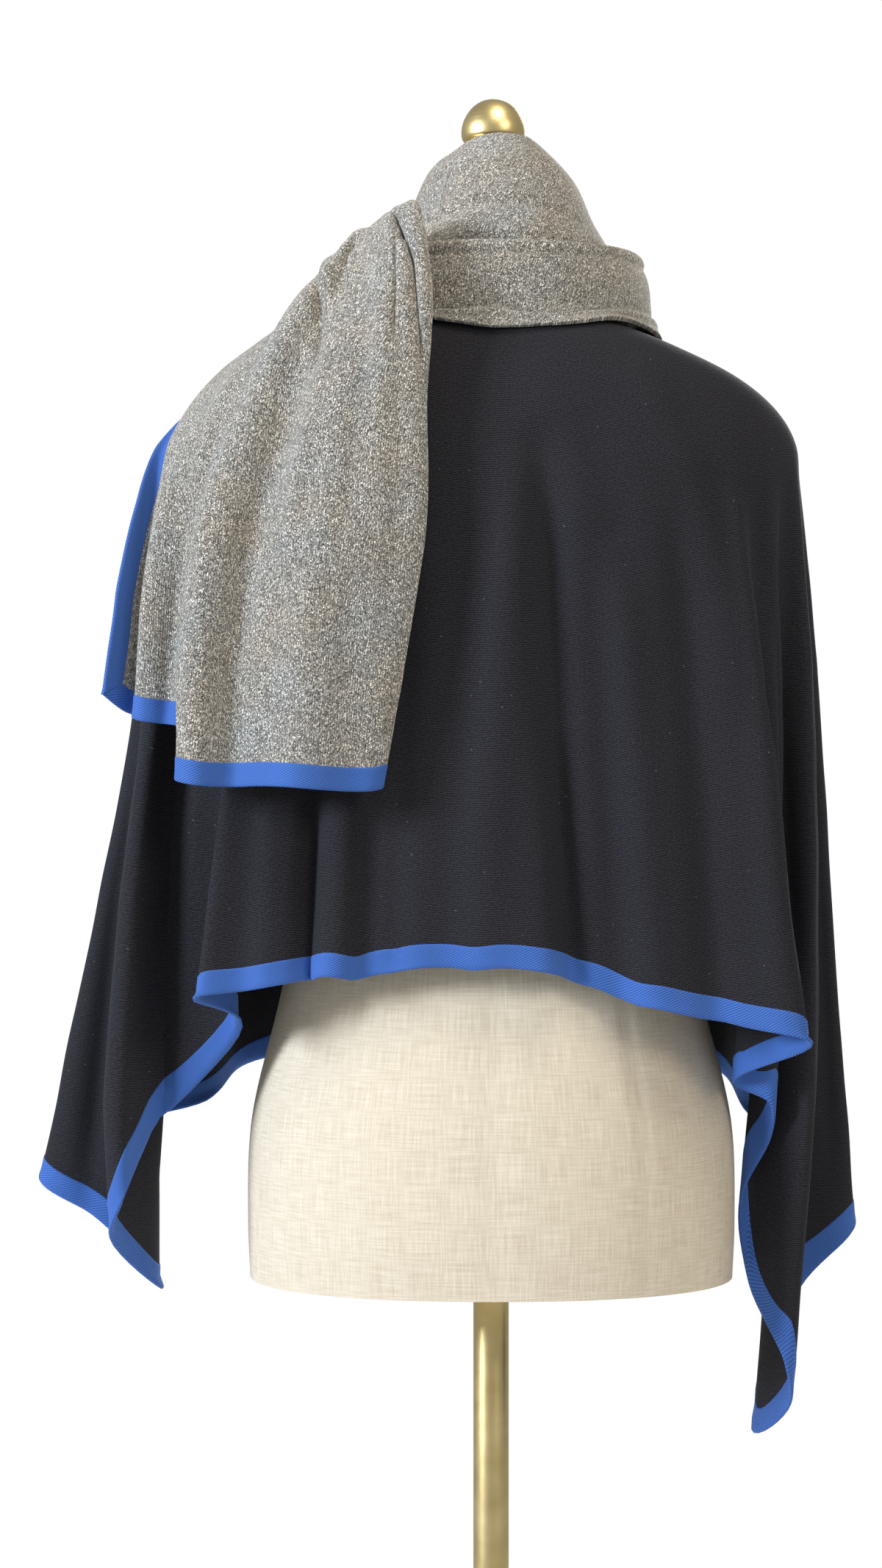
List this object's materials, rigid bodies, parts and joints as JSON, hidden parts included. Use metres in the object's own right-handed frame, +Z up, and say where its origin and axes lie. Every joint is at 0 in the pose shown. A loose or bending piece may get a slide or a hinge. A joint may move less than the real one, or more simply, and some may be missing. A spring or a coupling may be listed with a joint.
{
  "type": "wrap cape on dress form",
  "caption": "Knit wrap cape with a shawl collar tied at the left of the neck, hem and edges bound in a contrast tape, standing on a limbless dress form with a round base.",
  "frame": {"origin": "middle of the underside of the form's round base", "axes": "+Z up the pole; -Y out of the back of the cape, which the picture shows; +X towards the wearer's right"},
  "size_m": [0.5837, 0.38, 1.6],
  "materials": {
    "navy_knit": "matt",
    "grey_melange_knit": "matt",
    "blue_knit_tape": "matt",
    "linen_cover": "matt",
    "polished_brass": "polished",
    "black_painted_iron": "satin"
  },
  "bodies": {
    "root": {"cape_back": "navy_knit", "cape_left_front": "navy_knit", "cape_right_front": "navy_knit", "cape_binding": "blue_knit_tape", "neck_funnel": "grey_melange_knit", "neck_band": "grey_melange_knit", "shawl_tail": "grey_melange_knit", "tail_binding": "blue_knit_tape", "shawl_drape": "grey_melange_knit", "drape_binding": "blue_knit_tape", "form_torso": "linen_cover", "form_neck_cap": "polished_brass", "form_finial": "polished_brass", "form_pole": "polished_brass", "form_base": "black_painted_iron"}
  },
  "joints": []
}
